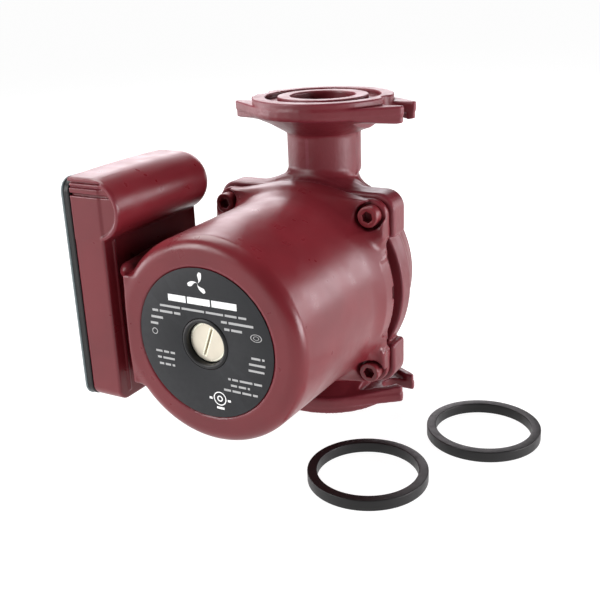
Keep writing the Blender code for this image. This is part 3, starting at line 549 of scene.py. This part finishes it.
def housing(x, y, z):
    up = z - AXIS_Z
    from_axis = np.hypot(x, up)
    half = HOUSING_HALF
    # The barrel flares to its flange in one smooth curve, and the lugs stand on that
    flare = np.clip((y + 50) / 24, 0, 1)
    side = from_axis - (HOUSING_FRONT_R + 0.015 * (y - FRONT_Y) + 3.4 * flare**2 * (3 - 2 * flare))
    side = np.where(np.abs(x) > 48.3, np.maximum(side, from_axis - HOUSING_BACK_R - 0.4), side)
    barrel = meet(meet(side * 0.95, FRONT_Y - y, 6.5), y - SEAM_Y + 0.5)
    plate = panel(x, up, -half, half, -half, half, 8.5)
    plate = carve(plate, meet(np.abs(up) - LUG_REACH - 1.5, LUG_INNER_X - np.abs(x)), 1.5)
    plate = meet(plate, band(y, FLANGE_FRONT_Y, SEAM_Y - 0.5), 1.4)
    spigot = meet(from_axis - 48.0, band(y, -30, SEAM_Y - 0.6))
    # Between the lugs the flange stops short, and the joint shows as a dark gap
    gap = meet(48.2 - from_axis, meet(band(y, -28.6, -20), np.abs(up) - 32.5, 1.0))
    barrel = carve(barrel, meet(gap, 40 - np.abs(x)), 0.4)
    shape = join(barrel, plate, 7.0)
    shape = meet(shape, y - (SEAM_Y - 0.5), 0.4)
    shape = join(shape, spigot)
    pad = meet(polygon(x, y, PAD_OUTLINE), band(z, *PAD_Z), 0.9)
    shape = join(shape, pad, 2.0)
    # A bead down the pad's front edge, and the rounded bar along its top
    bevel = (1.75 * (x + 43.8) + y - FRONT_Y - 0.8) / 2.016
    shape = carve(shape, meet(bevel, band(z, PAD_Z[0] - 0.2, PAD_Z[1] + 0.2)), 0.7)
    bead = np.hypot(x + 50.1, y - FRONT_Y - 12.4) - 0.8
    shape = join(shape, meet(bead, band(z, *PAD_Z), 0.6), 0.4)
    along = np.maximum(np.maximum(BAR_Y[0] - y, y - BAR_Y[1]), 0)
    above = z - PAD_Z[1] - 0.1 * (y + 111)
    bar = np.sqrt((x - BAR_X) ** 2 + along**2 + above**2) - BAR_R
    shape = join(shape, bar, 1.6)

    pockets = circle(np.abs(x), np.abs(up), (SCREW_PITCH, SCREW_PITCH), 7.0)
    shape = carve(shape, meet(pockets, y + 30.1), 0.9)
    holes = circle(np.abs(x), np.abs(up), (SCREW_PITCH, SCREW_PITCH), SCREW_HOLE_R)
    shape = carve(shape, holes)
    shape = carve(shape, meet(from_axis - LABEL_R - 0.4, y - FRONT_Y - 0.9), 0.4)
    shape = carve(shape, meet(from_axis - FRONT_HOLE_R, y + 110))
    shape = carve(shape, meet(from_axis - ROOM_R, -115.8 - y, 3.0))
    way = meet(panel(y, z, *WIRE_WAY, 4), x + 38)
    shape = carve(shape, way, 0.5)
    notch = meet(panel(x, z, 49.0, 56.0, AXIS_Z - 1, AXIS_Z + 5, 0.6), band(y, -30.4, -26))
    shape = carve(shape, notch, 0.3)
    for place_y, place_z in BOX_SCREWS:
        shape = carve(shape, meet(circle(y, z, (place_y, place_z), 2.3), x + 44.5))
    return shape


place(
    sculpt("motor_shell", housing, (-52, FRONT_Y, AXIS_Z - 54.5), (54.5, SEAM_Y, AXIS_Z + 54.5), 0.8),
    "pump_body", "housing_paint", "stator_housing",
)  # fmt: skip


# ---------------------------------------------------------------- terminal box


def bulge(x, z, shrink):
    """The round housing of the capacitor, seen along it, open to the box on its left."""
    u, v = CAPACITOR_AXIS
    straight = meet(band(z, v - BULGE_R + shrink, v + BULGE_R - shrink), x - u)
    return join(circle(x, z, CAPACITOR_AXIS, BULGE_R - shrink), straight)


def terminal_box(x, y, z):
    left, right = BOX_LOW.x, -52.0
    front, back = BOX_LOW.y, -47.5
    body = panel(y, z, front, back, BOX_LOW.z, 141.0, 6.0)
    body = meet(body, x - right, 1.2)
    # The capacitor's housing swells a little between its ends
    swell = 1 + 0.05 * np.clip(1 - ((y + 82) / 37) ** 2, 0, 1)
    middle = CAPACITOR_AXIS[1]
    lowered = np.where(z > middle, middle + (z - middle) / swell, z)
    round_part = meet(meet(bulge(x, lowered, 0.0), front + 0.4 - y, 0.7), y - BOX_HIGH.y, 9.0)
    shape = join(body, round_part, 1.2)
    lip = meet(np.abs(bulge(x, z, 1.1)) - 0.9, band(y, front - 0.5, front + 4), 0.5)
    lip = carve(lip, meet(x + 53.0, z - middle))
    shape = join(shape, lip, 0.3)
    bead = meet(np.hypot(x - right + 0.2, y - front - 7.0) - 0.9, band(z, BOX_LOW.z + 4, 112))
    shape = join(shape, bead, 0.6)
    shape = meet(shape, left - x, 0.5)
    inner = bulge(x, z, 2.6)
    for low, high, deep in BOX_GROOVES:
        line = meet(meet(band(z, low, high), np.minimum(inner + 0.6, x + 50)), y - front - deep)
        shape = carve(shape, line, 0.2)

    wall = BOX_WALL
    room = panel(y, z, front + wall, back - wall, BOX_LOW.z + wall, CAPACITOR_AXIS[1] - 4, 4)
    room = meet(room, x - (right - wall), 1.0)
    can_room = meet(bulge(x, z, wall), band(y, front + wall + 0.6, -48.5), 1.0)
    shape = carve(shape, join(room, can_room), 0.3)
    for place_y, place_z in COVER_SCREWS:
        post = meet(circle(y, z, (place_y, place_z), 4.4), band(x, left + 0.8, right - 1))
        shape = join(shape, post, 1.0)
        shape = carve(shape, meet(circle(y, z, (place_y, place_z), 2.2), x + 55))
    for centre, low in ((BOX_SCREWS[0], -58), (BOX_SCREWS[1], -58), (GROUND_PLACE, -58)):
        reach = right - 0.6 if centre == GROUND_PLACE else right + 2
        shape = carve(shape, meet(circle(y, z, centre, 2.25), band(x, low, reach)))
    shape = carve(shape, meet(panel(y, z, *WIRE_WAY, 4), -58 - x), 0.3)
    return carve(shape, meet(circle(x, y, KNOCKOUT, 6.0), z - 40), 0.3)


place(
    sculpt("wiring_box", terminal_box, (BOX_LOW.x, BOX_LOW.y - 1, BOX_LOW.z), tuple(BOX_HIGH), 0.5),
    "pump_body", "housing_paint", "terminal_box",
)  # fmt: skip


COVER_LOW, COVER_HIGH = ((corner - ORIGIN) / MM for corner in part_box("terminal_box_cover"))
SEAL_BACK_X = (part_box("cover_gasket")[1].x - ORIGIN.x) / MM
LID_RIM, LID_STEP = 1.25, 5.0  # thickness of the lid's rim, and how far in its thick part starts


def lid_inside(y, z, inset):
    low, high = COVER_LOW, COVER_HIGH
    corner = max(6.7 - inset, 1.5)
    return panel(y, z, low.y + inset, high.y - inset, low.z + inset, high.z - 0.9 - inset, corner)


def lid_seal(x, y, z):
    """The lid's rubber, which shows as a black line between the lid's rim and the box."""
    ring = meet(lid_inside(y, z, 0.35), -lid_inside(y, z, LID_STEP + 0.3))
    shape = meet(ring, band(x, COVER_LOW.x + LID_RIM + 0.1, SEAL_BACK_X), 0.5)
    for centre in COVER_SCREWS:
        shape = carve(shape, circle(y, z, centre, 6.3))
    return shape


def cover(x, y, z):
    low, high = COVER_LOW, COVER_HIGH
    rim = meet(panel(y, z, low.y, high.y, low.z, high.z - 0.9, 6.7), band(x, low.x, low.x + LID_RIM), 0.5)
    plate = join(rim, meet(lid_inside(y, z, LID_STEP), band(x, low.x + 0.3, high.x)), 0.2)
    field = panel(y, z, low.y + 6, high.y - 6, low.z + 6, high.z - 6, 6.0)
    plate = carve(plate, meet(field, x - low.x - 0.5, 0.2), 0.4)
    for centre in COVER_SCREWS:
        seat = meet(circle(y, z, centre, 6.0), band(x, low.x, high.x), 0.4)
        plate = join(plate, seat, 0.6)
        plate = carve(plate, circle(y, z, centre, 2.2))
        plate = carve(plate, meet(circle(y, z, centre, 3.9), x - low.x - 1.4), 0.2)
    return plate


place(
    sculpt("box_lid", cover, tuple(COVER_LOW), tuple(COVER_HIGH), 0.5),
    "box_cover", "cover_paint", "terminal_box_cover",
)  # fmt: skip


place(
    sculpt("lid_seal", lid_seal, tuple(COVER_LOW), (SEAL_BACK_X, COVER_HIGH.y, COVER_HIGH.z), 0.4),
    "box_cover", "rubber", "cover_gasket",
)  # fmt: skip


# ---------------------------------------------------------------- screws, plug, seals and label


def screw(head_r, head, tip, shank_r, drive):
    """A field for a screw along +W, its head's outer face at head[0] and its underside at head[1]."""

    def field(u, v, w):
        top = meet(np.hypot(u, v) - head_r, band(w, *head), 0.7)
        ridges = 0.25 * np.abs(((w + np.arctan2(v, u) / math.tau) % 1.0) - 0.5)
        shank = meet(np.hypot(u, v) - shank_r + ridges, band(w, head[0] + 1, tip), 0.5)
        return carve(join(top, shank), drive(u, v, w), 0.15)

    return field


def add_screw(node, body, slot, along, centre, field, sizes, pitch=0.3):
    """Sculpts a screw about its own axis and sets it in place of a CAD node."""
    head_r, low, high = sizes
    c0, c1 = centre

    def placed(x, y, z):
        across = {"X": (y - c0, z - c1, x), "Y": (x - c0, z - c1, y)}[along]
        return field(*across)

    if along == "X":
        corners = (low, c0 - head_r, c1 - head_r), (high, c0 + head_r, c1 + head_r)
    else:
        corners = (c0 - head_r, low, c1 - head_r), (c0 + head_r, high, c1 + head_r)
    return place(sculpt(node + "_look", placed, *corners, pitch), body, slot, node)


# Housing screws, whose sockets each stopped at their own angle
HEAD_R, HEAD_Y, SHANK_R, SCREW_TIP_Y = 5.2, (-36.4, -30.4), 3.0, -12.5
SOCKET_R, SOCKET_FLOOR_Y = 3.0, -31.6
SCREW_TURNS = (0.2, 0.55, 0.9, 0.35)
CORNERS = ((1, 1), (1, -1), (-1, -1), (-1, 1))
for number, ((side, up), turn) in enumerate(zip(CORNERS, SCREW_TURNS), 1):

    def socket(u, v, w, turn=turn):
        return meet(hexagon(u, v, SOCKET_R, turn), band(w, -40, SOCKET_FLOOR_Y))

    field = screw(HEAD_R, HEAD_Y, SCREW_TIP_Y, SHANK_R, socket)
    spot = (side * SCREW_PITCH, AXIS_Z + up * SCREW_PITCH)
    sizes = (HEAD_R, HEAD_Y[0], SCREW_TIP_Y)
    add_screw(f"housing_screw_{number}", "pump_body", "screw_paint", "Y", spot, field, sizes)


def cross(top, deep, turn):
    """A cross recess whose arms shorten as it goes in."""

    def field(u, v, w):
        a = np.abs(u * math.cos(turn) + v * math.sin(turn))
        b = np.abs(v * math.cos(turn) - u * math.sin(turn))
        width, reach = 0.5, 2.0 - 0.5 * (w - top)
        arms = join(meet(a - width, b - reach), meet(b - width, a - reach))
        return meet(arms, band(w, top - 2, top + deep))

    return field


def add_cross_screw(node, body, slot, centre, head_r, head, tip, shank_r, drive):
    """A cross-head screw into the motor's left side. drive is the recess's depth and turn."""
    deep, turn = drive
    field = screw(head_r, head, tip, shank_r, cross(head[0], deep, turn))
    add_screw(node, body, slot, "X", centre, field, (head_r, head[0], tip), 0.22)


for number, (centre, turn) in enumerate(zip(COVER_SCREWS, (0.4, 1.1)), 1):
    head = (COVER_LOW.x - 1.2, COVER_LOW.x + 1.1)
    add_cross_screw(f"cover_screw_{number}", "box_cover", "steel", centre, 3.5, head, -58.0, 1.8, (1.4, turn))
for number, centre in enumerate(BOX_SCREWS, 1):
    name, head = f"terminal_box_screw_{number}", (-57.2, -54.7)
    add_cross_screw(name, "pump_body", "steel", centre, 3.6, head, -44.8, 2.0, (1.5, number))
head = (-57.8, -54.8)
add_cross_screw("ground_screw", "pump_body", "green_steel", GROUND_PLACE, 3.8, head, -53.2, 1.9, (1.6, 0.3))

PLUG_FACE_Y = (PLUG_LOW.y - ORIGIN.y) / MM
PLUG_R = (PLUG_HIGH.x - PLUG_LOW.x) / 2 / MM
SLOT_LEAN, SLOT_HALF_WIDTH = math.radians(20.0), 0.45
PLUG_HEAD_BACK_Y, PLUG_TIP_Y, THREAD_PITCH = -113.6, -104.9, 1.5


def vent_plug(x, y, z):
    up = z - AXIS_Z
    from_axis = np.hypot(x, up)
    head = meet(from_axis - PLUG_R, band(y, PLUG_FACE_Y, PLUG_HEAD_BACK_Y), 0.55)
    ridges = 0.35 * np.abs(((y / THREAD_PITCH - np.arctan2(up, x) / math.tau) % 1.0) - 0.5)
    shank = meet(from_axis - 6.0 + ridges, band(y, -115, PLUG_TIP_Y), 0.8)
    across = x * math.cos(SLOT_LEAN) - up * math.sin(SLOT_LEAN)
    along = x * math.sin(SLOT_LEAN) + up * math.cos(SLOT_LEAN)
    blade = np.hypot(along, y - PLUG_FACE_Y + 7.6) - 10.5
    slot = meet(np.abs(across) - SLOT_HALF_WIDTH, blade, 0.2)
    return carve(join(head, shank), slot, 0.2)


corners = (-PLUG_R, PLUG_FACE_Y, AXIS_Z - PLUG_R), (PLUG_R, PLUG_TIP_Y, AXIS_Z + PLUG_R)
place(sculpt("plug", vent_plug, *corners, 0.3), "vent_plug", "nickel", "vent_plug")

seal = [(6.6, -113.0), (12.0, -113.0), (12.0, FRONT_Y), (10.9, FRONT_Y - 0.5), (9.95, FRONT_Y)]
seal += [(9.95, -113.35), (6.6, -113.35)]
plug_ring = turned("plug_ring", softened(seal, 0.35), "Y", (0, 0, AXIS_Z))
place(plug_ring, "vent_seal", "rubber", "vent_plug_seal")

back, front = FRONT_Y + 0.6, FRONT_Y + 0.1
disc = [(FRONT_HOLE_R, back), (LABEL_R, back), (LABEL_R, front), (FRONT_HOLE_R, front)]
label_disc = turned("label_disc", softened(disc, 0.12, 2), "Y", (0, 0, AXIS_Z), 160)
place(label_disc, "pump_body", "label", "nameplate")

for node, body in (("flange_gasket_front", "gasket_front"), ("flange_gasket_back", "gasket_back")):
    low, high = ((corner - ORIGIN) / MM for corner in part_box(node))
    inner, outer, top = GASKET_INNER_R, (high.x - low.x) / 2, high.z
    ring = softened([(inner, 0), (outer, 0), (outer, top), (inner, top)], 0.55)
    centre = ((low.x + high.x) / 2, (low.y + high.y) / 2, 0)
    place(turned(node + "_look", ring, "Z", centre, 128), body, "rubber", node)


# ---------------------------------------------------------------- print on the label


def print_shapes(name, outlines, material):
    """Thin raised ink on the label, from outlines in X and Z about the motor axis."""
    shape = bmesh.new()
    face_y, thickness = FRONT_Y + 0.07, 0.05
    for outline in outlines:
        face = shape.faces.new([shape.verts.new((u, face_y, v + AXIS_Z)) for u, v in outline])
        raised = bmesh.ops.extrude_face_region(shape, geom=[face])
        moved = [item for item in raised["geom"] if isinstance(item, bmesh.types.BMVert)]
        bmesh.ops.translate(shape, vec=(0, -thickness, 0), verts=moved)
    mesh = bpy.data.meshes.new(name)
    shape.to_mesh(mesh)
    shape.free()
    place(finish_mesh(name, mesh, sharp=30), "pump_body", "label", material=material)


def bar(u, v, length, height):
    """A plain bar from its lower left corner."""
    return [(u, v), (u + length, v), (u + length, v + height), (u, v + height)]


def words(u, v, lengths, height, gap=0.9):
    """A line of plain bars, one for each word."""
    bars = []
    for length in lengths:
        bars.append(bar(u, v, length, height))
        u += length + gap
    return bars


def ring_pieces(u, v, inner, outer, squash=1.0, count=24):
    """A ring as short four-sided pieces that touch."""
    pieces = []
    for i in range(count):
        a, b = math.tau * i / count, math.tau * (i + 1) / count
        pieces.append(
            [
                (u + radius * math.cos(angle), v + radius * squash * math.sin(angle))
                for radius, angle in ((inner, a), (outer, a), (outer, b), (inner, b))
            ]
        )
    return pieces


def blade_outline(u, v, reach, turn, steps=10):
    """One swept blade of the rotor sign."""
    outline = []
    for i in range(steps + 1):
        share = i / steps
        angle = turn + 0.75 * share
        outline.append((u + reach * share * math.cos(angle), v + reach * share * math.sin(angle)))
    for i in range(steps, 0, -1):
        share = i / steps
        angle = turn + 0.75 * share + 0.62 * math.sin(math.pi * min(1.0, share * 0.9))
        outline.append((u + reach * share * math.cos(angle), v + reach * share * math.sin(angle)))
    return outline


bright = [blade_outline(-1.5, 28.3, 5.4, math.tau * i / 3 + 0.4) for i in range(3)]
bright += words(-18.0, 18.3, (9.5, 12.0, 12.9), 3.1, 0.8)
bright += ring_pieces(6.0, -25.4, 2.9, 3.4) + ring_pieces(6.0, -25.4, 0.9, 1.5)
bright += [bar(4.0, -30.6, 4.0, 1.1), bar(10.1, -26.3, 1.6, 1.1), bar(0.3, -26.3, 1.6, 1.1)]
faint = words(-23.0, 14.9, (11, 12, 9, 6, 4), 1.0) + words(-27.5, 12.0, (3.2, 7.0, 3.4), 1.1)
faint += words(-28.5, 8.7, (6.5,), 1.1) + words(-29.2, 5.6, (4.2,), 1.1)
faint += ring_pieces(-27.2, 2.2, 1.2, 1.6, 1.0, 12)
faint += words(9.5, 11.6, (3.0, 12.5), 1.1) + words(11.0, 8.4, (2.6, 5.5), 1.1)
faint += ring_pieces(27.0, 7.2, 2.5, 2.9, 0.62) + ring_pieces(27.0, 7.2, 1.2, 1.5, 0.62, 14)
faint += words(-27.6, -7.8, (3.5, 2.8, 2.4), 1.0) + words(-27.0, -10.9, (2.2, 6.4), 1.0)
faint += words(-26.2, -14.0, (2.4, 3.0, 1.4), 1.0)
faint += words(24.0, -3.0, (4.5, 1.2), 1.0) + words(22.6, -6.0, (8.2,), 1.0) + words(22.2, -9.0, (8.0,), 1.0)
faint += words(11.2, -15.2, (1.2, 3.0, 6.5, 4.0), 1.0) + words(12.4, -18.1, (3.2, 3.8, 1.0), 1.0)
faint += words(8.6, -20.8, (3.6, 4.2, 4.6, 2.4), 1.0)
print_shapes("label_print_bright", bright, INK)
print_shapes("label_print_faint", faint, FAINT_INK)


# ---------------------------------------------------------------- wires and the other carried pieces


def wire(node, points):
    """A round insulated wire through the points."""
    line = bpy.data.curves.new(node + "_look", "CURVE")
    line.dimensions = "3D"
    line.bevel_depth = 1.1 * MM
    line.bevel_resolution = 4
    line.use_fill_caps = True
    line.resolution_u = 8
    spline = line.splines.new("BEZIER")
    spline.bezier_points.add(len(points) - 1)
    for i, (target, point) in enumerate(zip(spline.bezier_points, points)):
        before, after = Vector(points[max(i - 1, 0)]), Vector(points[min(i + 1, len(points) - 1)])
        arm = (after - before) / 6
        target.co = ORIGIN + Vector(point) * MM
        target.handle_left = ORIGIN + (Vector(point) - arm) * MM
        target.handle_right = ORIGIN + (Vector(point) + arm) * MM
    made = bpy.data.objects.new(node + "_look", line)
    bpy.context.scene.collection.objects.link(made)
    place(made, "pump_body", "wire", node)


wire("stator_lead_1", [
    (-41.7, -92, 62), (-50, -94, 64), (-58, -88, 68), (-61, -81, 67), (-59.5, -76.5, 61), (-58.5, -75.5, 57),
])  # fmt: skip
wire("stator_lead_2", [
    (-41.7, -92, 78), (-50, -94, 80), (-58, -88, 80), (-61, -81, 77), (-59.5, -76.5, 71), (-58.5, -75.5, 68),
])  # fmt: skip
wire("capacitor_lead_1", [
    (-62, -56.2, 121), (-64, -57, 114), (-63.5, -64, 105), (-62, -70, 97), (-60, -75, 88), (-58.5, -75.8, 77),
])  # fmt: skip
wire("capacitor_lead_2", [
    (-57, -56.2, 120), (-58, -57, 114), (-58, -64, 106), (-57, -70, 98), (-56, -77, 91), (-55.5, -78.5, 80),
])  # fmt: skip

SLOT_OF = {row["node"]: row["material_slot"] for row in FRAME["record"]["subparts"]}
for node, carried in FRAME["nodes"].items():
    if not carried.hide_render:
        carried.data.materials.clear()
        carried.data.materials.append(FINISHES[SLOT_OF[node]])


# ---------------------------------------------------------------- floor, light and camera


CAMERA_PLACE = Vector((217.5, -417.4, 223.1))
CAMERA_TURN = (29.47, -19.9, -2.26)  # yaw, pitch and roll in degrees
CAMERA_LENS = 53.71


def camera():
    """The view from the front, a little above the motor and to its right."""
    yaw, pitch, roll = (math.radians(angle) for angle in CAMERA_TURN)
    forward = Vector((-math.sin(yaw) * math.cos(pitch), math.cos(yaw) * math.cos(pitch), math.sin(pitch)))
    right = forward.cross(Vector((0, 0, 1))).normalized()
    up = right.cross(forward)
    across = right * math.cos(roll) + up * math.sin(roll)
    above = up * math.cos(roll) - right * math.sin(roll)
    data = bpy.data.cameras.new("camera")
    data.lens = CAMERA_LENS
    data.clip_start = 0.01
    data.clip_end = 20
    made = bpy.data.objects.new("camera", data)
    turn = Matrix((across, above, -forward)).transposed().to_4x4()
    made.matrix_world = Matrix.Translation(ORIGIN + CAMERA_PLACE * MM) @ turn
    bpy.context.scene.collection.objects.link(made)
    bpy.context.scene.camera = made


def softbox(name, centre, target, width, height, power, colour=(1, 1, 1)):
    """A rectangle of soft light that faces its target. Sizes are in metres and power in watts."""
    data = bpy.data.lights.new(name, "AREA")
    data.shape = "RECTANGLE"
    data.size, data.size_y = width, height
    data.energy = power
    data.color = colour
    made = bpy.data.objects.new(name, data)
    made.location = centre
    made.rotation_euler = (Vector(target) - Vector(centre)).to_track_quat("-Z", "Y").to_euler()
    bpy.context.scene.collection.objects.link(made)


def studio():
    """A pale floor, pale walls all round as the world, and soft boxes above and beside the pump."""
    mesh = bpy.data.meshes.new("floor")
    reach, below = 30.0, -0.0002
    corners = [(u * reach, v * reach, below) for u, v in ((-1, -1), (1, -1), (1, 1), (-1, 1))]
    mesh.from_pydata(corners, [], [(0, 1, 2, 3)])
    floor = bpy.data.objects.new("floor", mesh)
    bpy.context.scene.collection.objects.link(floor)
    paper = Shader("floor_paper", 0.8, Emission_Color=(1, 1, 1), Emission_Strength=0.96)
    paper.colour(paper.mix(paper.spread(paper.noise(60.0), 0.3, 0.7), (0.19, 0.19, 0.19), (0.21, 0.21, 0.21)))
    floor.data.materials.append(paper.material)
    floor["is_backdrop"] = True

    # White walls up to eye level, and a dimmer room above them
    world = bpy.data.worlds.new("studio")
    world.use_nodes = True
    tree = world.node_tree
    direction = tree.nodes.new("ShaderNodeTexCoord").outputs["Generated"]
    split = tree.nodes.new("ShaderNodeSeparateXYZ")
    tree.links.new(direction, split.inputs["Vector"])
    fade = tree.nodes.new("ShaderNodeMapRange")
    tree.links.new(split.outputs["Z"], fade.inputs["Value"])
    for key, number in (("From Min", 0.0), ("From Max", 0.08), ("To Min", 0.6), ("To Max", 0.06)):
        fade.inputs[key].default_value = number
    tree.links.new(fade.outputs["Result"], tree.nodes["Background"].inputs["Strength"])
    tree.nodes["Background"].inputs["Color"].default_value = (1, 1, 1, 1)
    # Seen directly, the walls are as pale as the floor
    wall, both = tree.nodes.new("ShaderNodeBackground"), tree.nodes.new("ShaderNodeMixShader")
    tree.links.new(tree.nodes.new("ShaderNodeLightPath").outputs["Is Camera Ray"], both.inputs[0])
    tree.links.new(tree.nodes["Background"].outputs[0], both.inputs[1])
    tree.links.new(wall.outputs[0], both.inputs[2])
    wall.inputs["Color"].default_value = (1, 1, 1, 1)
    tree.links.new(both.outputs[0], tree.nodes["World Output"].inputs["Surface"])
    bpy.context.scene.world = world
    blush = (1.0, 0.94, 0.98)
    softbox("top_box", (-0.5, 0.15, 0.95), (0, 0, 0.08), 0.8, 0.6, 12)
    softbox("front_box", (-0.8, -1.0, 0.55), (0, 0, 0.08), 0.5, 0.5, 11)
    softbox("left_box", (-1.1, -0.2, 0.16), (0, 0, 0.08), 0.9, 0.3, 5, blush)
    softbox("right_box", (1.15, 0.15, 0.17), (0, 0, 0.08), 0.7, 0.33, 12, blush)
    softbox("back_box", (-0.72, 1.15, 0.58), (0, 0, 0.1), 1.1, 0.7, 9, blush)
    softbox("back_right_box", (0.75, 0.9, 0.3), (0, 0, 0.08), 0.5, 0.4, 4.2, blush)
    bpy.context.scene.view_settings.view_transform = "Standard"


camera()
studio()
LOOKS_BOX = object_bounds()
sizes = {"cad": [list(corner) for corner in CAD_BOX], "visual": [list(corner) for corner in LOOKS_BOX]}
